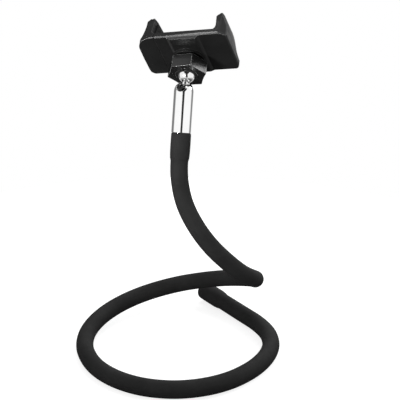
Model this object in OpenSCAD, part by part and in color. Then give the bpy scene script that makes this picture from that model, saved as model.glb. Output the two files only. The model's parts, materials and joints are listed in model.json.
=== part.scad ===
// Phone holder worn round the neck: a foam-sleeved gooseneck bent into a loop, a stud with two
// balls in a slotted tube, a hexagonal lock nut and a sprung clamp with one fixed and one sliding jaw.
// Millimetres, resting on the floor plane, the loop level and the clamp at the top.

/* [Gooseneck] */
// outside diameter of the foam sleeve
sleeve_d = 14.3; // [13.8:0.1:14.3]
// diameter of the bendable metal core
core_d = 6; // [5:0.5:6]
// radius of the loop on the centre line
loop_r = 77.8; // [76.8:0.2:79]
// length of the straight end that leaves the loop
tail_len = 65; // [62:1:66]
// outside diameter of the sleeve where it swells over the fitting at each end
swell_d = 16.2; // [16:0.1:16.4]
// length of the swelling below the tube
swell_len = 21.5; // [20:0.5:23]

/* [Slotted tube] */
// outside diameter of the chrome tube
tube_d = 16; // [15.8:0.1:16.2]
// width of the slot that the stud folds into
slot_w = 7.6; // [7:0.1:7.8]
// direction of the slot, turned from the front of the upright
slot_turn = 24; // [15:1:35]

/* [Ball stud] */
// diameter of the lower ball, in the tube
low_ball_d = 12.6; // [12.5:0.05:12.6]
// diameter of the upper ball, in the clamp
top_ball_d = 14.4; // [14.3:0.05:14.4]
// distance between the two balls
ball_gap = 14.25; // [14.2:0.05:14.6]
// lean of the stud away from the slot
stud_lean = 10.5; // [0:0.5:14]
// direction of that lean, turned as the slot is
lean_turn = 32; // [20:1:36]
// tilt of the clamp on the upper ball
tilt = 21.5; // [0:0.5:24]
// direction of that tilt about the stud
tilt_turn = 35.7; // [20:0.1:50]
// turn of the clamp in its own plane
turn = -24.7; // [-60:0.1:60]

/* [Lock nut] */
// size across the corners
nut_d = 32.8; // [32:0.2:33]
// height of the nut
nut_h = 11.2; // [10.6:0.2:11.4]

/* [Clamp] */
// radius of the plate's big corner, under the sliding jaw
corner_r = 14.5; // [10:0.5:14.5]
// thickness of the rubber jaw pads
pad_t = 1.4; // [1.2:0.1:1.8]

/* [Hidden] */
$fn = 96;
sleeve_r = sleeve_d / 2;
core_r = core_d / 2;
swell_r = swell_d / 2;
bore_r = core_r + 0.3;
wide_bore_r = 7;
spigot_r = 6.6;
spigot_bore_r = 5.4;
tube_r = tube_d / 2;
loop_y = -7.49;
post_at = [2, 22, 160];
post_turn = [-17, 4, 0];
post_axis = [0.0667, 0.2924, 0.9540];
ball_z = 54.5;
tube_bore_r = 6.36;
spring_z0 = 22;
nut_z0 = -1;

// clamp, seen from its plate: x along the slide, y to the far side, z towards the phone
plate_x0 = -39.4;
plate_x1 = 37.4;
plate_y0 = -28.3;
plate_y1 = 22.5;
plate_z0 = 17.5;
plate_z1 = 22;
edge = 0.9;
end_slant = 3.2;
seam_x = -22.2;
jaw_top = 40;
slide_y0 = -20;
slide_y1 = 14;
spring_x0 = 6.6;
spring_x1 = 24.2;
spring_y = [-11.5, 5.5];
screw_x = [-17, 22];
screw_y = [-23.6, 17.8];

// Gooseneck centre line, from the straight end round the loop and up to the tube. The loop is bent by
// hand, so it strays a little from a true circle: bends holds angles and how far out it lies there.
tail_a = 36;
bends = [[-190, -0.1], [-160, -0.8], [-140, 0], [-110, 1.2], [-90, 1.1], [-70, 0], [-45, -1.5],
    [-30, -1.4], [-5, -0.1], [10, -0.6], [25, -2.3], [tail_a, -2.75]];
function ring_r(a) = loop_r + lookup(a, bends);
function ring_z(a) = let (u = max(0, -a - 170)) 7.15 + 0.026 * u + 0.00142 * u * u;
function ring_at(a) = [ring_r(a) * cos(a), ring_r(a) * sin(a), ring_z(a)];
tail_start = ring_at(tail_a);
tail_tip = [tail_start[0] - tail_len * sin(tail_a), tail_start[1] + tail_len * cos(tail_a), 9];
tail_axis = let (v = tail_start - tail_tip) v / norm(v);
riser = [ring_at(-269), ring_at(-275), [26, 73, 30.5], [42, 65, 35.5], [55, 52, 41.5], [62.7, 37, 48],
    [64.8, 21, 54.7], [61.8, 7, 62], [53, -4, 71], [41, -9, 83], [27, -8, 97], [15, -2, 112],
    [6, 7, 128], [2, 16, 145], post_at, [2, 16, 145] + 31 * post_axis];
function smooth(p, q, r, s, t) = 0.5 * (2 * q + (r - p) * t + (2 * p - 5 * q + 4 * r - s) * t * t
    + (3 * q - p - 3 * r + s) * t * t * t);
steps = 3;
way = concat([for (a = [tail_a : -5 : -275]) ring_at(a)],
    [for (i = [1 : len(riser) - 3], k = [(i == 1 ? 1 : 0) : steps - 1])
        smooth(riser[i - 1], riser[i], riser[i + 1], riser[i + 2], k / steps)]);
function route(from_tip, from_post) = concat([for (d = from_tip) tail_tip + d * tail_axis], way,
    [for (d = from_post) post_at + d * post_axis]);

// Sleeve's two ends: distance along the axis, outer radius, bore radius.
tail_rings = [[0, swell_r - 0.85, wide_bore_r], [0.3, swell_r - 0.5, wide_bore_r],
    [1, swell_r - 0.22, wide_bore_r], [3, swell_r - 0.04, wide_bore_r], [22.2, swell_r, wide_bore_r],
    [22.4, swell_r, bore_r], [24.4, swell_r - 0.3, bore_r], [25.6, swell_r - 0.45, bore_r],
    [26.6, sleeve_r + 0.15, bore_r], [27.8, sleeve_r, bore_r], [40, sleeve_r, bore_r],
    [52, sleeve_r, bore_r], [60, sleeve_r, bore_r]];
post_rings = [[-1.6, sleeve_r, bore_r], [-0.4, sleeve_r + 0.15, bore_r], [0.6, swell_r - 0.45, bore_r],
    [1.8, swell_r - 0.3, bore_r], [5, swell_r - 0.12, bore_r], [8.6, swell_r, bore_r],
    [8.8, swell_r, wide_bore_r], [swell_len - 3, swell_r - 0.04, wide_bore_r],
    [swell_len - 1, swell_r - 0.22, wide_bore_r], [swell_len - 0.3, swell_r - 0.5, wide_bore_r],
    [swell_len, swell_r - 0.85, wide_bore_r]];
function column(rows, k) = [for (r = rows) r[k]];
function radii(k, between) = concat(column(tail_rings, k), [for (q = way) between], column(post_rings, k));

function unit(v) = v / norm(v);
function ahead(p, i) = unit(p[min(i + 1, len(p) - 1)] - p[max(i - 1, 0)]);
function circle_at(c, t, r, n) = let (s = unit(cross(t, [0, 0, 1])), u = cross(s, t))
    [for (k = [0 : n - 1]) c + r * (cos(360 * k / n) * s + sin(360 * k / n) * u)];

// A closed skin over rings of n points each, outer skin out and bore skin in.
function skin(rings, n, base, flip) = [for (i = [0 : rings - 2], k = [0 : n - 1])
    let (a = base + i * n + k, b = base + i * n + (k + 1) % n, c = b + n, d = a + n)
    flip ? [a, b, c, d] : [d, c, b, a]];
function tris(quads) = [for (q = quads) each [[q[0], q[1], q[2]], [q[0], q[2], q[3]]]];

module swept_rod(p, r, n) {
    m = len(p);
    pts = [for (i = [0 : m - 1]) each circle_at(p[i], ahead(p, i), r, n)];
    polyhedron(points = pts, faces = concat(tris(skin(m, n, 0, false)),
        [[for (k = [0 : n - 1]) k]], [[for (k = [n - 1 : -1 : 0]) (m - 1) * n + k]]), convexity = 12);
}

// Tube with an outer and a bore radius for each point. The bore has half as many sides as the outside,
// so each end face joins two outer points to one inner.
module swept_tube(p, r, inner_r, n) {
    m = len(p);
    h = n / 2;
    outer = [for (i = [0 : m - 1]) each circle_at(p[i], ahead(p, i), r[i], n)];
    inner = [for (i = [0 : m - 1]) each circle_at(p[i], ahead(p, i), inner_r[i], h)];
    b = m * n;
    e = b + (m - 1) * h;
    f = (m - 1) * n;
    first = [for (k = [0 : h - 1]) each [[2 * k, 2 * k + 1, b + k],
        [2 * k + 1, b + (k + 1) % h, b + k], [2 * k + 1, (2 * k + 2) % n, b + (k + 1) % h]]];
    last = [for (k = [0 : h - 1]) each [[f + 2 * k + 1, f + 2 * k, e + k],
        [e + (k + 1) % h, f + 2 * k + 1, e + k], [f + (2 * k + 2) % n, f + 2 * k + 1, e + (k + 1) % h]]];
    polyhedron(points = concat(outer, inner),
        faces = concat(tris(skin(m, n, 0, false)), tris(skin(m, h, b, true)), first, last), convexity = 12);
}

// Places, each carrying the next one further up.
module standing() { translate([0, loop_y, 0]) children(); }
module at_tip() {
    translate(tail_tip) rotate([0, acos(tail_axis[2]), atan2(tail_axis[1], tail_axis[0])]) children();
}
module post() { translate(post_at) rotate(post_turn) children(); }
module fork() { post() rotate([0, 0, -slot_turn]) children(); }
module stud() {
    post() translate([0, 0, ball_z]) rotate([0, 0, -lean_turn]) rotate([-stud_lean, 0, 0]) children();
}
module head() {
    stud() translate([0, 0, ball_gap]) rotate([0, 0, tilt_turn]) rotate([-tilt, 0, 0])
        rotate([0, 0, turn]) children();
}

// Prisms along the three directions of the clamp.
module along_y(y0, y1) { translate([0, y1, 0]) rotate([90, 0, 0]) linear_extrude(y1 - y0) children(); }
module along_x(x0, x1) { translate([x0, 0, 0]) rotate([90, 0, 90]) linear_extrude(x1 - x0) children(); }
module box(x0, x1, y0, y1, z0, z1) { translate([x0, y0, z0]) cube([x1 - x0, y1 - y0, z1 - z0]); }

module sleeve() {
    color("#2b2b2e") standing() swept_tube(route(column(tail_rings, 0), column(post_rings, 0)),
        radii(1, sleeve_r), radii(2, bore_r), 20);
}

module core_rod() {
    color("#b8bcc2") standing() swept_rod(route([6.2, 30, 50], [0, 16]), core_r, 8);
}

module core_ferrule() {
    color("#9aa0a6") standing() post() difference() {
        translate([0, 0, 10.4]) cylinder(r = spigot_bore_r - 0.05, h = 8);
        translate([0, 0, 10]) cylinder(r = core_r + 0.02, h = 9);
    }
}

// Cup on the free end of the core; the sleeve is drawn over it and swells.
module end_cap() {
    color("#232326") standing() at_tip() rotate_extrude()
        polygon([[0, 0.3], [3.6, 0.5], [5.6, 1.1], [6.6, 2.2], [6.6, 21.6], [6.2, 22], [core_r + 0.02, 22],
            [core_r + 0.02, 6], [0, 6]]);
}

// Tube with a spigot below, a domed end and a slot that runs over the dome and down one side.
module slotted_tube() {
    slot_z = ball_z - 0.4 + slot_w / 2;
    color("#e4e6e8") standing() fork() difference() {
        rotate_extrude() intersection() {
            square([20, 80]);
            difference() {
                union() {
                    translate([0, 10.4]) square([spigot_r, 14]);
                    translate([0, swell_len + 0.05]) square([tube_r, ball_z - swell_len - 0.05]);
                    translate([0, ball_z]) circle(r = tube_r);
                }
                translate([-1, 9]) square([spigot_bore_r + 1, 14]);
                translate([-1, spring_z0]) square([tube_bore_r + 1, ball_z - spring_z0]);
                translate([0, ball_z]) circle(r = tube_bore_r);
            }
        }
        translate([0, 2.2, 0]) rotate([90, 0, 0]) linear_extrude(16) {
            translate([0, slot_z]) circle(r = slot_w / 2);
            translate([-slot_w / 2, slot_z]) square([slot_w, 12]);
        }
        translate([0, 2.2, ball_z + 1]) cylinder(r = slot_w / 2 + 0.1, h = 12);
    }
}

module ball_seat() {
    color("#dcdcdc") standing() fork() difference() {
        translate([0, 0, ball_z - 9.5]) cylinder(r = 6.3, h = 7);
        translate([0, 0, ball_z]) sphere(r = low_ball_d / 2 + 0.02);
        translate([0, 0, ball_z - 10]) cylinder(r = 2, h = 5);
    }
}

module seat_spring() {
    color("#8e9398") standing() fork() rotate_extrude() difference() {
        translate([4.9, spring_z0 + 0.05]) square([1.2, 44.9 - spring_z0]);
        for (z = [spring_z0 + 1.7 : 1.9 : 43.5]) translate([6.2, z]) circle(r = 0.6, $fn = 24);
    }
}

module ball_stud() {
    color("#c9ccd0") standing() stud() {
        sphere(r = low_ball_d / 2);
        cylinder(r = 2.7, h = ball_gap);
        translate([0, 0, ball_gap]) sphere(r = top_ball_d / 2);
    }
}

// Hexagonal nut with chamfered corners and shallow hollows in its six sides.
module lock_nut() {
    top = nut_z0 + nut_h;
    color("#333338") standing() head() rotate([0, 0, -2]) difference() {
        intersection() {
            translate([0, 0, nut_z0]) cylinder(r = nut_d / 2, h = nut_h, $fn = 6);
            rotate_extrude() polygon([[0, nut_z0], [16.1, nut_z0], [16.5, nut_z0 + 0.4],
                [16.5, top - 0.9], [15.3, top], [0, top]]);
        }
        for (a = [30 : 60 : 330]) rotate([0, 0, a]) translate([73.75, 0, nut_z0 - 1])
            cylinder(r = 60, h = nut_h + 2, $fn = 180);
        // bore with a mouth that narrows over the collet
        rotate_extrude() polygon([[0, nut_z0 - 1], [9.1, nut_z0 - 1], [9.1, nut_z0], [10.6, 3.5],
            [10.6, top + 1], [0, top + 1]]);
    }
}

// Outlines of the plate's two parts, square at the seam: the large part, and the end under the jaw
// that slides, whose near corner is much rounder.
module shell_outline() {
    r = 6;
    translate([seam_x + 0.15, plate_y0]) square([plate_x1 - r - seam_x - 0.15, plate_y1 - plate_y0]);
    translate([plate_x1 - r - 1, plate_y0 + r]) square([r + 1, plate_y1 - plate_y0 - 2 * r]);
    for (y = [plate_y0 + r, plate_y1 - r]) translate([plate_x1 - r, y]) circle(r = r);
}

module slide_outline() {
    r = 7.5;
    x1 = seam_x - 0.15;
    n = [-cos(end_slant), -sin(end_slant)];
    far = [plate_x0 + r, plate_y1 - r];
    near_y = plate_y0 + corner_r;
    near = [far[0] + (sin(end_slant) * (far[1] - near_y) + corner_r - r) / cos(end_slant), near_y];
    polygon([near + corner_r * n, near, [near[0], plate_y0], [x1, plate_y0], [x1, plate_y1],
        [far[0], plate_y1], far, far + r * n]);
    translate(near) circle(r = corner_r);
    translate(far) circle(r = r);
}

// Side view of a jaw: highest near the camera side, cut away on the far side.
module jaw_side() {
    polygon([[plate_y0, plate_z0 + edge], [plate_y0 + edge, plate_z0], [plate_y1 - edge, plate_z0],
        [plate_y1, plate_z0 + edge], [plate_y1, 21.6], [plate_y1 - 0.4, plate_z1], [16, plate_z1],
        [13, 22.5], [9, 23.7], [6.4, 25.6], [4.8, 28.4], [3.4, 32.8], [2, 35.6], [-0.4, 37.6], [-3.2, 39],
        [-6.4, 39.7], [-11, jaw_top], [-16, 39.8], [-20.4, 39.2], [-23.4, 38.2], [-25.5, 36.7],
        [-26.8, 34.6], [-27.6, 31.6], [plate_y0, 25]]);
}

module fixed_jaw_end() {
    polygon([[seam_x, plate_z0], [plate_x1 - edge, plate_z0], [plate_x1, plate_z0 + edge],
        [plate_x1, 22.4], [37, 26], [36.3, 30.4], [35.4, 34.4], [34.5, 37.2], [33.7, 38.8], [32.8, 39.7],
        [31.8, jaw_top], [30.9, 39.7], [30.1, 38.9], [29.1, 36.8], [28.7, 35], [29, 25.6], [28.7, 24.2],
        [28, 22.9], [26.8, plate_z1], [seam_x, plate_z1]]);
}

module sliding_jaw_end() {
    polygon([[plate_x0 + edge, plate_z0], [seam_x, plate_z0], [seam_x, plate_z1], [-23.4, 22.4],
        [-23.9, 23.2], [-24.1, 24.6], [-22.6, 36.6], [-22.6, 38.2], [-23, 39.2], [-23.8, jaw_top],
        [-24.9, jaw_top], [-25.9, 39.4], [-26.9, 38.2], [-27.8, 36.4], [-28.6, 33.8], [-29.5, 30.4],
        [-30.8, 26.4], [-32, 23.8], [-33.6, plate_z1], [plate_x0 + 0.4, plate_z1], [plate_x0, 21.6],
        [plate_x0, plate_z0 + edge]]);
}

module back_shell() {
    color("#2c2c30") standing() head() difference() {
        union() {
            intersection() {
                translate([0, 0, plate_z0 - 1]) linear_extrude(25) shell_outline();
                along_x(-23, 38) jaw_side();
                along_y(-29, 23) fixed_jaw_end();
            }
            // raised band across the back
            intersection() {
                along_y(plate_y0 + 0.6, plate_y1 - 0.6)
                    polygon([[-11.8, 17.6], [-10, 16], [-8.9, 15.5], [12.4, 15.5], [13.5, 16], [15.3, 17.6]]);
                along_x(-12, 16) polygon([[plate_y0 + 0.6, 17.6], [plate_y0 + 1.8, 15.5],
                    [plate_y1 - 1.8, 15.5], [plate_y1 - 0.6, 17.6]]);
            }
            translate([0, 0, 13.2]) cylinder(r = 13.5, h = 2.4);
            // threaded neck and collet
            rotate_extrude() polygon([[0, -1.8], [8.95, -1.8], [9.05, -1], [10.1, 3.2], [10.3, 5],
                [10.3, 10.6], [9.9, 10.9], [9.9, 11.3], [10.5, 11.6], [10.5, 12], [9.9, 12.3],
                [9.9, 13.4], [0, 13.4]]);
        }
        sphere(r = top_ball_d / 2 + 0.05);
        translate([0, 0, -3]) cylinder(r = 7.02, h = 3);
        for (a = [0, 90]) rotate([0, 0, a]) box(-0.6, 0.6, -12, 12, -3, 9);
        // slide room, open at the seam
        box(-23, 26.2, slide_y0 - 0.3, slide_y1 + 0.3, 19.1, 23);
        // seat for the cover
        box(-23, 26.4, plate_y0 + 1.8, plate_y1 - 1.8, 20.8, 23);
        for (x = screw_x, y = screw_y) translate([x, y, 18.4]) cylinder(r = 0.95, h = 3, $fn = 32);
        // seat for the jaw pad
        box(28, 29.6, -22, 1, 25.6, 34.8);
    }
    color("#2c2c30") standing() head() for (y = spring_y) translate([24.9, y, 19])
        cylinder(r = 0.6, h = 3, $fn = 32);
}

module front_cover() {
    color("#2a2a2e") standing() head() difference() {
        union() {
            box(seam_x + 0.2, 26.2, plate_y0 + 2, plate_y1 - 2, 20.85, 22);
            intersection() {
                box(-21, 25.6, -22.2, 16.2, 21, 24.5);
                along_y(-23, 17) polygon([[-21, 21], [-21, 23.3], [-19.8, 24.5], [24.4, 24.5],
                    [25.6, 23.3], [25.6, 21]]);
                along_x(-22, 26) polygon([[-22.2, 21], [-22.2, 23.3], [-21, 24.5], [15, 24.5],
                    [16.2, 23.3], [16.2, 21]]);
            }
        }
        box(-23, 24.2, -20.8, 14.8, 20.8, 23.1);
        for (y = spring_y) translate([24.9, y, 20]) cylinder(r = 0.65, h = 2.1, $fn = 32);
        for (x = screw_x, y = screw_y) translate([x, y, 20]) {
            cylinder(r = 0.95, h = 3, $fn = 32);
            translate([0, 0, 1.2]) cylinder(r = 1.75, h = 1.5, $fn = 48);
        }
    }
}

module front_pad() {
    color("#1d1d20") standing() head() intersection() {
        box(-19, 23.6, -20.2, 14.2, 24.5, 25.6);
        along_y(-21, 15) polygon([[-19, 24.5], [-19, 25.2], [-18.6, 25.6], [23.2, 25.6], [23.6, 25.2],
            [23.6, 24.5]]);
    }
}

module fixed_jaw_pad() {
    color("#1d1d20") standing() head() box(29.6 - pad_t, 29.55, -21.8, 0.8, 25.8, 34.6);
}

module cover_screw(x, y) {
    color("#b9bcc0") standing() head() translate([x, y, 0]) difference() {
        union() {
            translate([0, 0, 18.6]) cylinder(r = 0.9, h = 3, $fn = 32);
            translate([0, 0, 21.22]) cylinder(r = 1.65, h = 0.75, $fn = 48);
        }
        for (a = [45, 135]) rotate([0, 0, a]) box(-1.1, 1.1, -0.2, 0.2, 21.6, 23);
    }
}

module cover_screw_1() { cover_screw(screw_x[0], screw_y[0]); }
module cover_screw_2() { cover_screw(screw_x[1], screw_y[0]); }
module cover_screw_3() { cover_screw(screw_x[0], screw_y[1]); }
module cover_screw_4() { cover_screw(screw_x[1], screw_y[1]); }

// Close-wound extension spring between a post on the shell and the slide.
module spring(y) {
    color("#aeb3b8") standing() head() translate([spring_x0, y, 21.2]) rotate([0, 90, 0]) rotate_extrude() {
        square([1.3, spring_x1 - spring_x0]);
        for (z = [0.6 : 1.17 : spring_x1 - spring_x0 - 0.3]) translate([1.05, z]) circle(r = 0.5, $fn = 20);
    }
}

module spring_upper() { spring(spring_y[1]); }
module spring_lower() { spring(spring_y[0]); }

// Jaw with its end block and the thin slide that runs inside the shell.
module sliding_jaw() {
    color("#2c2c30") standing() head() difference() {
        union() {
            intersection() {
                translate([0, 0, plate_z0 - 1]) linear_extrude(25) slide_outline();
                along_x(-40, -21) jaw_side();
                along_y(-29, 23) sliding_jaw_end();
            }
            box(-24, 23.8, slide_y0, slide_y1, 19.4, 20.6);
        }
        for (y = spring_y) box(6.2, 24, y - 2, y + 2, 19, 21);
        // seat for the jaw pad
        translate([-24.1, 0, 24.6]) rotate([0, 7.1, 0]) box(-0.6, 1.5, -22, 1, 1, 10);
    }
}

module sliding_jaw_pad() {
    color("#1d1d20") standing() head() translate([-24.1, 0, 24.6]) rotate([0, 7.1, 0])
        box(-0.55, pad_t - 0.55, -21.8, 0.8, 1.2, 9.8);
}

sleeve();
core_rod();
core_ferrule();
end_cap();
slotted_tube();
ball_seat();
seat_spring();
ball_stud();
lock_nut();
back_shell();
front_cover();
front_pad();
fixed_jaw_pad();
cover_screw_1();
cover_screw_2();
cover_screw_3();
cover_screw_4();
spring_upper();
spring_lower();
sliding_jaw();
sliding_jaw_pad();
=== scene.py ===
"""Looks of a neck-worn phone holder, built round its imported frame. Metres, with the loop on the floor."""
import json
import math

import bmesh
import bpy
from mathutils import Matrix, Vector


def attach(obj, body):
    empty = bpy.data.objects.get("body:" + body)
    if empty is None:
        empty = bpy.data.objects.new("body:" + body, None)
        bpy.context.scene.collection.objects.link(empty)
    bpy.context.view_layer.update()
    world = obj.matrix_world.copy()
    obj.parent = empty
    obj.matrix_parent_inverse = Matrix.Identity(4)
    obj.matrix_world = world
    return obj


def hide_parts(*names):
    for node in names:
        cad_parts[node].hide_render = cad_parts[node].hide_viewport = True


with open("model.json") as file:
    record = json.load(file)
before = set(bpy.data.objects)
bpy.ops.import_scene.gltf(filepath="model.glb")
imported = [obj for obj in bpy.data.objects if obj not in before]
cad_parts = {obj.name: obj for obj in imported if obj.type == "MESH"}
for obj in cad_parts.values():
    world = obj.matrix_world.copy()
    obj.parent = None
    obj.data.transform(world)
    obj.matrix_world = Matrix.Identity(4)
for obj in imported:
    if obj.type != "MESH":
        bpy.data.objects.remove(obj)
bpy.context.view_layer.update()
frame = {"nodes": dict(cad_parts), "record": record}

MM = 0.001

# Camera: where the photograph was taken from, in front of the loop and looking down
LOOP_Y = -7.49 * MM
CAMERA_AT = Vector((18.5 * MM, -855 * MM + LOOP_Y, 458.2 * MM))
CAMERA_PITCH = 20.8
LENS = 103.5
SENSOR = 36
NEAREST = 0.01


def make_camera():
    cam = bpy.data.cameras.new("camera")
    cam.lens = LENS
    cam.sensor_width = SENSOR
    cam.clip_start = NEAREST
    obj = bpy.data.objects.new("camera", cam)
    obj.location = CAMERA_AT
    obj.rotation_euler = (math.radians(90 - CAMERA_PITCH), 0, 0)
    bpy.context.collection.objects.link(obj)
    bpy.context.scene.camera = obj


make_camera()
bpy.context.scene.view_settings.view_transform = "Standard"

# Clamp frame, from the joints: x against the slide's travel, z towards the phone, 0 at the upper ball
JOINTS = {joint["name"]: joint for joint in frame["record"]["behaviour"]["joints"]}
BALL_AT = Vector(JOINTS["head_turn"]["pos_m"])
LOW_BALL_AT = Vector(JOINTS["stud_fold"]["pos_m"])
HEAD_Z = Vector(JOINTS["head_turn"]["axis"]).normalized()
HEAD_X = -Vector(JOINTS["jaw_slide"]["axis"]).normalized()
HEAD_Y = HEAD_Z.cross(HEAD_X)


class Nodes:
    """A short way to write a material's or the world's nodes. A socket goes by its name, or by its number
    after a _ mark."""

    def __init__(self, tree):
        self.tree = tree
        tree.nodes.clear()

    def add(self, kind, **values):
        node = self.tree.nodes.new("ShaderNode" + kind)
        for name, value in values.items():
            if hasattr(node, name):
                setattr(node, name, value)
            else:
                self.put(node, name, value)
        return node

    def put(self, node, name, value):
        socket = node.inputs[int(name[1:])] if name[0] == "_" else node.inputs[name.replace("_", " ")]
        if hasattr(value, "bl_idname") and hasattr(value, "is_output"):
            self.tree.links.new(value, socket)
        else:
            socket.default_value = value

    def math(self, operation, a, b=0.0, c=0.0):
        return self.add("Math", operation=operation, _0=a, _1=b, _2=c).outputs[0]

    def vectors(self, operation, a, b=(0, 0, 0)):
        return self.add("VectorMath", operation=operation, _0=a, _1=b)

    def dot(self, a, b):
        return self.vectors("DOT_PRODUCT", a, b).outputs["Value"]

    def along(self, place, axis, origin):
        """Distance in metres from origin along axis, from an object's own coordinates."""
        moved = self.vectors("SUBTRACT", place, tuple(origin))
        return self.dot(moved.outputs["Vector"], tuple(axis))

    def ramp(self, fac, stops):
        """A grey for each place between the stops."""
        node = self.add("ValToRGB", Fac=fac)
        elements = node.color_ramp.elements
        while len(elements) < len(stops):
            elements.new(0.5)
        for element, (position, value) in zip(elements, stops):
            element.position = position
            element.color = (value, value, value, 1)
        return node.outputs["Color"]

    def noise(self, vector, scale, detail=3, rough=0.5):
        return self.add("TexNoise", Vector=vector, Scale=scale, Detail=detail, Roughness=rough).outputs["Fac"]

    def mixed(self, fac, first, second):
        return self.add("MixShader", Fac=fac, _1=first.outputs[0], _2=second.outputs[0])


# Soft patches: the noise values between which colour and roughness drift, and how much finer the
# roughness drifts than the colour
PATCH_LOW = 0.3
PATCH_HIGH = 0.7
ROUGH_FINER = 5
BEVEL_SAMPLES = 8
# Painted highlight on the edges, as a paler base colour: how soon they pale, and the clear band on both sides
# of the sliding jaw's seam, in mm
EDGE_HIGHLIGHT_GAIN = 9.0
SEAM_X = -22.2
SEAM_BAND = 1.5
# Where the painted edge highlight is kept to one side: how fully an edge has to face it, and the depth of the
# plate's edge, in mm
SIDE_GAIN = 1.4
SIDE_START = 0.15
PLATE_EDGE_Z = 17.9
PLATE_EDGE_BAND = 1.3


class Surface:
    """A principled material whose colour and roughness drift in soft patches, with a fine grain."""

    def __init__(self, name, low, high, rough, rough_span=0.08, grain=2500, grain_depth=0.04, patch=60,
                 round_edges=0.0, edge_highlight=None, highlight_side=None, **shader_values):
        self.mat = bpy.data.materials.new(name)
        self.mat.use_nodes = True
        n = self.n = Nodes(self.mat.node_tree)
        self.place = n.add("TexCoord").outputs["Object"]
        self.shader = n.add("BsdfPrincipled")
        for socket, value in shader_values.items():
            self.shader.inputs[socket.replace("_", " ")].default_value = value
        self.colour = n.ramp(n.noise(self.place, patch, detail=4), [(PATCH_LOW, low), (PATCH_HIGH, high)])
        n.put(self.shader, "Base_Color", self.colour)
        rough_ends = [(PATCH_LOW, rough - rough_span / 2), (PATCH_HIGH, rough + rough_span / 2)]
        n.put(self.shader, "Roughness", n.ramp(n.noise(self.place, patch * ROUGH_FINER), rough_ends))
        self.normal = None
        if round_edges:
            self.normal = n.add("Bevel", samples=BEVEL_SAMPLES, Radius=round_edges * MM).outputs["Normal"]
        # painted highlight along the rounded edges, as a paler base colour
        if edge_highlight:
            self.paint_edge_highlight(edge_highlight, highlight_side)
        self.bump(n.noise(self.place, grain, rough=0.6), grain_depth)
        n.add("OutputMaterial", Surface=self.shader.outputs["BSDF"])

    def bump(self, height, depth):
        """Adds relief, up to depth in mm, on the relief that is already there."""
        node = self.n.add("Bump", Strength=1.0, Distance=depth * MM, Height=height)
        if self.normal:
            self.n.put(node, "Normal", self.normal)
        self.normal = node.outputs["Normal"]
        self.n.put(self.shader, "Normal", self.normal)

    def paint_edge_highlight(self, colour, side):
        """Paints a highlight on the edges: pales the base colour where the rounded normal leaves the true
        one. A side limits it to the plate's edge on that side."""
        n = self.n
        same = n.dot(self.normal, n.add("NewGeometry").outputs["True Normal"])
        edge = n.math("MULTIPLY", n.math("SUBTRACT", 1.0, same), EDGE_HIGHLIGHT_GAIN)
        from_seam = n.math("ABSOLUTE", n.along(self.place, HEAD_X, BALL_AT + HEAD_X * SEAM_X * MM))
        edge = n.math("MULTIPLY", edge, n.math("GREATER_THAN", from_seam, SEAM_BAND * MM))
        if side:
            own_normal = n.add("VectorTransform", vector_type="NORMAL", convert_from="WORLD",
                               convert_to="OBJECT", _0=self.normal)
            facing = n.dot(own_normal.outputs["Vector"], tuple(side))
            turned = n.math("MAXIMUM", n.math("MULTIPLY_ADD", facing, SIDE_GAIN, -SIDE_START), 0.0)
            depth = n.along(self.place, HEAD_Z, BALL_AT)
            at_edge = n.math("COMPARE", depth, PLATE_EDGE_Z * MM, PLATE_EDGE_BAND * MM)
            edge = n.math("MULTIPLY", edge, n.math("MULTIPLY", turned, at_edge))
        self.tint(n.math("MINIMUM", edge, 1.0), colour)

    def tint(self, mask, value):
        """Turns the base colour to a grey of this value where the mask is 1."""
        mix = self.n.add("Mix", data_type="RGBA", _0=mask, _6=self.colour, _7=(value, value, value, 1))
        self.colour = mix.outputs[2]
        self.n.put(self.shader, "Base_Color", self.colour)


# Materials: low and high are greys, grain and patch are scales per metre, depths and edges are in mm
foam = Surface("foam", low=0.013, high=0.019, rough=0.8, grain=1500, grain_depth=0.07, patch=45,
               Specular_IOR_Level=0.12)
# the paler edge greys of the shell and the nut are painted highlights: on the plate's near edge for the
# shell, on all edges for the nut
shell = Surface("shell_plastic", low=0.006, high=0.009, rough=0.42, grain=3000, grain_depth=0.035,
                round_edges=0.7, edge_highlight=0.22, highlight_side=-HEAD_Y, Specular_IOR_Level=0.24)
nut = Surface("nut_plastic", low=0.004, high=0.007, rough=0.2, grain=2400, grain_depth=0.003,
              round_edges=0.5, edge_highlight=0.24, Specular_IOR_Level=0.5)
pad = Surface("pad_rubber", low=0.008, high=0.012, rough=0.7, grain=1500, grain_depth=0.08,
              Specular_IOR_Level=0.15)
cap = Surface("cap_plastic", low=0.012, high=0.017, rough=0.45, grain=2400, grain_depth=0.02,
              round_edges=0.4, Specular_IOR_Level=0.4)
nylon = Surface("nylon", low=0.62, high=0.70, rough=0.5, grain=1500)
chrome = Surface("chrome", low=0.92, high=0.97, rough=0.06, rough_span=0.03, grain=900, grain_depth=0.002,
                 patch=30, round_edges=0.35, Metallic=1.0)
stud = Surface("stud_chrome", low=0.84, high=0.88, rough=0.08, rough_span=0.04, grain=900,
               grain_depth=0.004, patch=200, Metallic=1.0)
steel = Surface("steel", low=0.50, high=0.60, rough=0.32, rough_span=0.1, grain=2000, grain_depth=0.01,
                Metallic=1.0)
core = Surface("core_metal", low=0.62, high=0.70, rough=0.4, rough_span=0.1, grain=1200, grain_depth=0.02,
               Metallic=1.0)

# Pores of the foam
PORES = 5200
PORE_DEPTH = 0.03
foam.bump(foam.n.noise(foam.place, PORES, detail=2), PORE_DEPTH)

# Fine ribs across the rubber pads
RIB_PITCH = 1.6 * MM
RIB_DEPTH = 0.12
rib_angle = pad.n.math("MULTIPLY", pad.n.along(pad.place, HEAD_X, BALL_AT), 2 * math.pi / RIB_PITCH)
pad.bump(pad.n.math("SINE", rib_angle), RIB_DEPTH)

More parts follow.
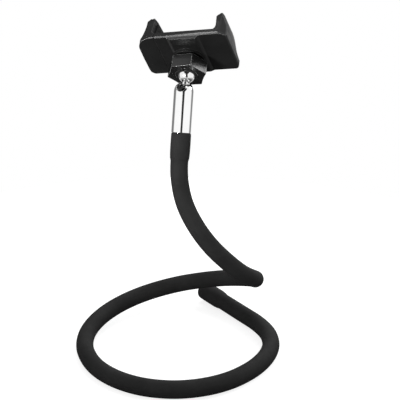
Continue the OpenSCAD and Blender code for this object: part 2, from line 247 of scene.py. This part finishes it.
# Painted shade of the tube: the stud is painted dark up to this height above the lower ball's centre, where
# it sits in the tube
STUD_AXIS = (BALL_AT - LOW_BALL_AT).normalized()
STUD_SHADE_TOP = 5.2 * MM
STUD_SHADE_GREY = 0.035
stud_height = stud.n.along(stud.place, STUD_AXIS, LOW_BALL_AT)
# painted shade on the stud inside the tube
stud.tint(stud.n.math("LESS_THAN", stud_height, STUD_SHADE_TOP), STUD_SHADE_GREY)

FINISH = {
    "core_rod": core, "core_ferrule": steel, "end_cap": cap, "slotted_tube": chrome, "ball_seat": nylon,
    "seat_spring": steel, "ball_stud": stud, "lock_nut": nut, "back_shell": shell, "front_cover": shell,
    "front_pad": pad, "fixed_jaw_pad": pad, "cover_screw_1": steel, "cover_screw_2": steel,
    "cover_screw_3": steel, "cover_screw_4": steel, "spring_upper": steel, "spring_lower": steel,
    "sliding_jaw": shell, "sliding_jaw_pad": pad,
}
for name, surface in FINISH.items():
    data = frame["nodes"][name].data
    data.materials.clear()
    data.materials.append(surface.mat)


def lookup(x, table):
    for (x0, y0), (x1, y1) in zip(table, table[1:]):
        if x0 <= x <= x1:
            return y0 + (y1 - y0) * (x - x0) / (x1 - x0)
    return table[0][1] if x < table[0][0] else table[-1][1]


def clamp01(v):
    return max(0.0, min(1.0, v))


# Shells of the clamp: the jaws' near tips are drawn up and the right jaw's near edge is turned back, in mm
# and degrees in the clamp's frame. Each tip is seen from the side, round a middle in y and z.
TIP_MIDDLE = (-18, 31)
TIP_R = 9.2
# how far out the drawing up starts and how soon it is full, as shares of the radius
TIP_START = 0.62
TIP_BLEND = 0.3
# angle round the middle, and the share by which the tip reaches further out there
TIP_GROWTH = [(77, 0), (90, 0.04), (106, 0.08), (114, 0.12), (128, 0.22), (138, 0.24), (147, 0.21),
              (158, 0.13), (176, 0.05), (190, 0)]
# x across the jaws, and how high their near ends reach; further back they reach higher
TIP_HEIGHT = [(-28.6, 34), (-26.3, 36.8), (-24.7, 38), (-23.5, 37.2), (-22.6, 36), (28.6, 34.1),
              (31, 36.6), (32.6, 38.2), (34.8, 35.5), (36.3, 30.5)]
TIP_SLOPE = 0.25
NEAR_Y = -28
PEAK_FROM_Z = 30
# the right jaw's near edge, turned back: from TURN_Y on, in full at TURN_END_Y, and less the higher up
RIGHT_JAW_X = 27
RIGHT_TIP_Z = 22.5
TURN_Y = -24.2
TURN_END_Y = -28.3
TURN_X = 31
TURN_BLEND = 3
TURN_DEPTH = 2.9
TURN_TAPER = 0.06
TURN_FOOT_Z = 20
# cuts across the shells, for points to move
CUTS_Y = (-27.4, -26.6, -25.8, -25, TURN_Y)
WELD = 1e-6
ON_PLANE = 1e-7
SHARP_EDGE = math.radians(24)


def drawn_up(x, y, z):
    dy, dz = y - TIP_MIDDLE[0], z - TIP_MIDDLE[1]
    angle = math.degrees(math.atan2(dz, dy)) % 360
    grow = lookup(angle, TIP_GROWTH) * clamp01((math.hypot(dy, dz) / TIP_R - TIP_START) / TIP_BLEND)
    return x, TIP_MIDDLE[0] + dy * (1 + grow), TIP_MIDDLE[1] + dz * (1 + grow)


def peaked(x, y, z):
    if z > PEAK_FROM_Z:
        z = min(z, lookup(x, TIP_HEIGHT) + TIP_SLOPE * (y - NEAR_Y))
    return x, y, z


def left_jaw(x, y, z):
    return peaked(*drawn_up(x, y, z))


def right_jaw(x, y, z):
    if x < RIGHT_JAW_X:
        return x, y, z
    if z > RIGHT_TIP_Z:
        x, y, z = drawn_up(x, y, z)
    turn = clamp01((TURN_Y - y) / (TURN_Y - TURN_END_Y))
    depth = TURN_DEPTH - TURN_TAPER * (z - TURN_FOOT_Z)
    return peaked(x - depth * turn * clamp01((x - TURN_X) / TURN_BLEND), y, z)


def reshaped(node, name, body, move):
    """A copy of a clamp shell, cut across for more points and moved point by point in the clamp's frame."""
    bm = bmesh.new()
    bm.from_mesh(frame["nodes"][node].data)
    bmesh.ops.remove_doubles(bm, verts=bm.verts, dist=WELD)
    for at in CUTS_Y:
        bmesh.ops.bisect_plane(bm, geom=bm.verts[:] + bm.edges[:] + bm.faces[:], dist=ON_PLANE,
                               plane_co=BALL_AT + HEAD_Y * at * MM, plane_no=HEAD_Y)
    for v in bm.verts:
        d = (v.co - BALL_AT) / MM
        x, y, z = move(d.dot(HEAD_X), d.dot(HEAD_Y), d.dot(HEAD_Z))
        v.co = BALL_AT + (x * HEAD_X + y * HEAD_Y + z * HEAD_Z) * MM
    for f in bm.faces:
        f.smooth = True
    for e in bm.edges:
        e.smooth = e.is_manifold and e.calc_face_angle(0) < SHARP_EDGE
    mesh = bpy.data.meshes.new(name)
    bm.to_mesh(mesh)
    bm.free()
    mesh.materials.append(shell.mat)
    obj = bpy.data.objects.new(name, mesh)
    bpy.context.collection.objects.link(obj)
    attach(obj, body)
    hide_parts(node)


reshaped("back_shell", "clamp_shell", "clamp", right_jaw)
reshaped("sliding_jaw", "clamp_jaw", "slide", left_jaw)

# Foam sleeve, in mm with the loop's centre at 0: swept along the gooseneck's route, which is the solid's.
# It runs from the free end round the loop, clockwise seen from above, and up the riser to the tube.
SLEEVE_R = 7.15
SLEEVE_SIDES = 56
LOOP_R = 77.8
# angle round the loop, and how far the loop leaves its circle there
TAIL_A = 36
BENDS = [(-190, -0.1), (-160, -0.8), (-140, 0), (-110, 1.2), (-90, 1.1), (-70, 0), (-45, -1.5),
         (-30, -1.4), (-5, -0.1), (10, -0.6), (25, -2.3), (TAIL_A, -2.75)]
# the loop's rings, by the angle between them and their number
LOOP_STEP = 1.25
LOOP_RINGS = 249
# past this angle the loop climbs: so much for each degree, and so much for each degree squared
CLIMB_A = -170
CLIMB = 0.026
CLIMB_GROWTH = 0.00142
# the free end: its length, its tip's height, and where its plain rings start and how far apart they lie
TAIL_LEN = 65
TAIL_Z = 9
TAIL_PLAIN = 30
TAIL_STEP = 2
# points that the riser runs through, and the rings between two of them
RISER = [(26, 73, 30.5), (42, 65, 35.5), (55, 52, 41.5), (62.7, 37, 48), (64.8, 21, 54.7), (61.8, 7, 62),
         (53, -4, 71), (41, -9, 83), (27, -8, 97), (15, -2, 112), (6, 7, 128), (2, 16, 145), (2, 22, 160)]
RISER_RINGS = 10
# angles of the two points of the loop that the riser starts from, and its last reach along the tube
RISER_FROM_A = (-269, -275)
RISER_REACH = 31
RELAX_ROUNDS = 8
# the tube's axis and foot, and how far the sleeve reaches up from it
POST_AXIS = Vector((0.0667, 0.2924, 0.9540))
POST_AT = Vector((2, 22, 160))
POST_LEN = 21.5
# distance from the sleeve's end and radius there: rounded lip, swelling over the fitting, soft shoulder
SWELL_R = 8.1
TAIL_SWELL = [(0, 7.1), (0.12, 7.4), (0.4, 7.7), (0.9, 7.93), (1.8, 8.05), (4, SWELL_R), (21, SWELL_R),
              (24, 7.85), (25.6, 7.65), (26.4, 7.45), (27.2, 7.22), (28.2, SLEEVE_R)]
POST_SWELL = [(0, 7.1), (0.12, 7.4), (0.4, 7.7), (0.9, 7.93), (1.8, 8.04), (4, 8.06), (10, SWELL_R),
              (15, 8.05), (18.5, 7.9), (20.6, 7.75), (21.5, 7.5), (22.3, 7.24), (23.2, SLEEVE_R)]
# inside each open end: the lip's inner edge, and the mouth that runs in from it
LIP_R = 6.85
MOUTH_R = 6.75
MOUTH_DEPTH = 0.9


def ring_at(a):
    """A point of the loop's centre line, by its angle in degrees."""
    past = max(0.0, CLIMB_A - a)
    r = LOOP_R + lookup(a, BENDS)
    t = math.radians(a)
    return Vector((r * math.cos(t), r * math.sin(t), SLEEVE_R + CLIMB * past + CLIMB_GROWTH * past * past))


def between(p, q, r, s, t):
    """A point on the smooth curve through four points, the share t of the way from q to r."""
    bend = 2 * p - 5 * q + 4 * r - s
    swing = 3 * q - p - 3 * r + s
    return 0.5 * (2 * q + (r - p) * t + bend * t * t + swing * t ** 3)


def relax(points, rounds):
    """Evens out the small corners where the pieces of the route meet."""
    for _ in range(rounds):
        points = [points[0]] + [(points[i - 1] + points[i + 1]) * 0.25 + points[i] * 0.5
                                for i in range(1, len(points) - 1)] + [points[-1]]
    return points


def sleeve_rings():
    """Centres and radii of the sleeve's rings from the free end to the tube."""
    start = ring_at(TAIL_A)
    t = math.radians(TAIL_A)
    tip = Vector((start.x - TAIL_LEN * math.sin(t), start.y + TAIL_LEN * math.cos(t), TAIL_Z))
    axis = (start - tip).normalized()
    middle = [tip + axis * d for d in range(TAIL_PLAIN, TAIL_LEN - 1, TAIL_STEP)]
    middle += [ring_at(TAIL_A - LOOP_STEP * k) for k in range(LOOP_RINGS)]
    riser = [ring_at(a) for a in RISER_FROM_A] + [Vector(p) for p in RISER]
    riser.append(riser[-2] + RISER_REACH * POST_AXIS)
    for i in range(1, len(riser) - 2):
        middle += [between(*riser[i - 1:i + 3], k / RISER_RINGS) for k in range(RISER_RINGS)]
    middle = relax(middle[:-2], RELAX_ROUNDS)
    first = [(tip + axis * d, r) for d, r in TAIL_SWELL]
    last = [(POST_AT + POST_AXIS * (POST_LEN - d), r) for d, r in reversed(POST_SWELL)]
    return first + [(p, SLEEVE_R) for p in middle] + last


def with_mouths(rings):
    """Turns both open ends inward, so that the sleeve shows a wall round its fittings."""
    tip = rings[0][0]
    top = rings[-1][0]
    # the free end is straight, so any of its next rings gives its direction
    inward = (rings[4][0] - tip).normalized() * MOUTH_DEPTH
    tail_mouth = [(tip + inward, MOUTH_R), (tip, LIP_R)]
    post_mouth = [(top, LIP_R), (top + POST_AXIS * -MOUTH_DEPTH, MOUTH_R)]
    return tail_mouth + rings + post_mouth


def sweep(name, rings, sides, mat):
    """A tube through rings, each a centre and a radius in mm."""
    verts, faces = [], []
    up = Vector((0, 0, 1))
    for i, (p, radius) in enumerate(rings):
        ahead = (rings[min(i + 1, len(rings) - 1)][0] - rings[max(i - 1, 0)][0]).normalized()
        side = ahead.cross(up).normalized()
        rise = side.cross(ahead)
        for k in range(sides):
            a = 2 * math.pi * k / sides
            out = radius * (math.cos(a) * side + math.sin(a) * rise)
            verts.append((p + out) * MM + Vector((0, LOOP_Y, 0)))
    for i in range(len(rings) - 1):
        for k in range(sides):
            a, b = i * sides + k, i * sides + (k + 1) % sides
            faces.append((a, b, b + sides, a + sides))
    mesh = bpy.data.meshes.new(name)
    mesh.from_pydata(verts, [], faces)
    mesh.polygons.foreach_set("use_smooth", [True] * len(faces))
    mesh.materials.append(mat)
    obj = bpy.data.objects.new(name, mesh)
    bpy.context.collection.objects.link(obj)
    return obj


foam_sleeve = sweep("foam_sleeve", with_mouths(sleeve_rings()), SLEEVE_SIDES, foam.mat)
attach(foam_sleeve, "gooseneck")
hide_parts("sleeve")

# Floor: a pale grey disc. The camera sees white added to it, more towards the rim, so that the shadow stays
# and the rim can't be seen. Its own grey drifts with the noise, and the white with the share of the radius.
FLOOR_R = 0.42
FLOOR_SIDES = 96
FLOOR_DROP = 0.0002
FLOOR_GREY = [(0.3, 0.34), (0.7, 0.38)]
FLOOR_PATCH = 3
FLOOR_GLOW = [(0.2, 0.82), (0.9, 1.0)]
# the glow that gloss rays see, by the share of the radius: painted shade, dark towards the middle under the
# object and paler towards the rim
FLOOR_GLOSS_SHADE = [(0.42, 0.1), (0.95, 0.9)]
WHITE = (1, 1, 1, 1)


def floor_material():
    mat = bpy.data.materials.new("floor")
    mat.use_nodes = True
    n = Nodes(mat.node_tree)
    place = n.add("TexCoord").outputs["Object"]
    share = n.math("DIVIDE", n.vectors("LENGTH", place).outputs["Value"], FLOOR_R)
    dull = n.add("BsdfDiffuse", Color=n.ramp(n.noise(place, FLOOR_PATCH), FLOOR_GREY))
    glow = n.add("Emission", Color=WHITE, Strength=n.ramp(share, FLOOR_GLOW))
    # what gloss rays see of the floor: a white glow with painted shade in the middle
    gloss_glow_with_shade = n.add("Emission", Color=WHITE, Strength=n.ramp(share, FLOOR_GLOSS_SHADE))
    lit = n.add("AddShader", _0=dull.outputs[0], _1=glow.outputs[0])
    path = n.add("LightPath")
    seen = n.math("MAXIMUM", path.outputs["Is Camera Ray"], path.outputs["Is Transmission Ray"])
    unseen = n.mixed(path.outputs["Is Glossy Ray"], dull, gloss_glow_with_shade)
    n.add("OutputMaterial", Surface=n.mixed(seen, unseen, lit).outputs[0])
    return mat


def make_floor():
    turns = [2 * math.pi * k / FLOOR_SIDES for k in range(FLOOR_SIDES)]
    rim = [(FLOOR_R * math.cos(a), FLOOR_R * math.sin(a), 0) for a in turns]
    mesh = bpy.data.meshes.new("floor")
    mesh.from_pydata(rim, [], [tuple(range(FLOOR_SIDES))])
    mesh.materials.append(floor_material())
    obj = bpy.data.objects.new("floor", mesh)
    obj.location = (0, 0, -FLOOR_DROP)
    bpy.context.collection.objects.link(obj)


make_floor()

# World: white to the camera, a soft grey dome that lights the object, and for gloss a white surround with
# dark parts, which the chrome shows.
# the dome, from straight down at 0 to straight up at 1
DOME = [(0.4, 0.12), (0.55, 0.35), (1.0, 0.8)]
# a dark strip behind the camera, by how far a ray's heading is from it, in half turns. It widens above its
# foot and narrows again towards the top.
STRIP = [(0.0, 0.02), (0.055, 0.03), (0.075, 1.0), (1.0, 1.0)]
STRIP_FOOT = 0.3
STRIP_WIDENS = 0.6
STRIP_TOP = 1.45
STRIP_TOP_SLOPE = 1.5
# once round, from behind by the left: grey, white at the left, in front and at the right, grey, white again
SURROUND = [(0.0, 0.25), (0.20, 0.2), (0.235, 1.0), (0.765, 1.0), (0.80, 0.2), (0.88, 0.3), (0.92, 1.0),
            (1.0, 1.0)]


def make_world():
    world = bpy.data.worlds.new("studio")
    bpy.context.scene.world = world
    world.use_nodes = True
    n = Nodes(world.node_tree)
    ray = n.add("SeparateXYZ", Vector=n.add("TexCoord").outputs["Generated"]).outputs
    # heading about z, in half turns: 0 towards the camera, 1 straight away from it
    heading = n.math("DIVIDE", n.math("ARCTAN2", ray["X"], n.math("MULTIPLY", ray["Y"], -1.0)), math.pi)
    below_top = n.math("MULTIPLY_ADD", ray["Z"], -STRIP_TOP_SLOPE, STRIP_TOP)
    rise = n.math("MINIMUM", n.math("SUBTRACT", ray["Z"], STRIP_FOOT), below_top)
    widening = n.math("MULTIPLY", n.math("MAXIMUM", rise, 0.0), STRIP_WIDENS)
    strip = n.ramp(n.math("SUBTRACT", n.math("ABSOLUTE", heading), widening), STRIP)
    surround = n.ramp(n.math("MULTIPLY_ADD", heading, 0.5, 0.5), SURROUND)
    height = n.math("MULTIPLY_ADD", ray["Z"], 0.5, 0.5)
    mirror = n.add("Background", Strength=1.0, Color=n.vectors("MULTIPLY", strip, surround).outputs["Vector"])
    dome = n.add("Background", Strength=1.0, Color=n.ramp(height, DOME))
    white = n.add("Background", Strength=1.0, Color=WHITE)
    path = n.add("LightPath")
    seen = n.math("MAXIMUM", path.outputs["Is Camera Ray"], path.outputs["Is Transmission Ray"])
    unseen = n.mixed(path.outputs["Is Glossy Ray"], dome, mirror)
    n.add("OutputWorld", Surface=n.mixed(seen, unseen, white).outputs[0])


make_world()

# Lamps: soft discs. The key and the rim lamp stand where the photograph's camera sees them mirrored in the
# clamp: in the near bevel of its plate, and in its faces that look to the right and near.
LAMP_AWAY = 1.0
KEY_FACE = -HEAD_Y - 0.85 * HEAD_Z
RIM_FACE = HEAD_X - 0.6 * HEAD_Y
CLAMP_SIGHT = (BALL_AT - CAMERA_AT).normalized()


def mirrored(normal):
    """Where a lamp stands that the camera sees mirrored in a face of the clamp."""
    normal = normal.normalized()
    return BALL_AT + LAMP_AWAY * (CLAMP_SIGHT - 2 * CLAMP_SIGHT.dot(normal) * normal)


def make_lamp(name, at, aim, size, power, spread=180):
    light = bpy.data.lights.new(name, "AREA")
    light.shape = "DISK"
    light.size = size
    light.energy = power
    light.spread = math.radians(spread)
    obj = bpy.data.objects.new(name, light)
    obj.location = at
    obj.rotation_euler = (Vector(aim) - Vector(at)).to_track_quat("-Z", "Y").to_euler()
    bpy.context.collection.objects.link(obj)


make_lamp("key_lamp", mirrored(KEY_FACE), aim=BALL_AT, size=0.22, power=0.4, spread=28)
make_lamp("rim_lamp", mirrored(RIM_FACE), aim=BALL_AT, size=0.45, power=4)
make_lamp("back_lamp", (0.35, 1.1, 0.75), aim=(0, 0, 0.15), size=0.6, power=6)
make_lamp("top_lamp", (0.1, 0.1, 1.2), aim=(0, 0, 0.1), size=0.6, power=3)
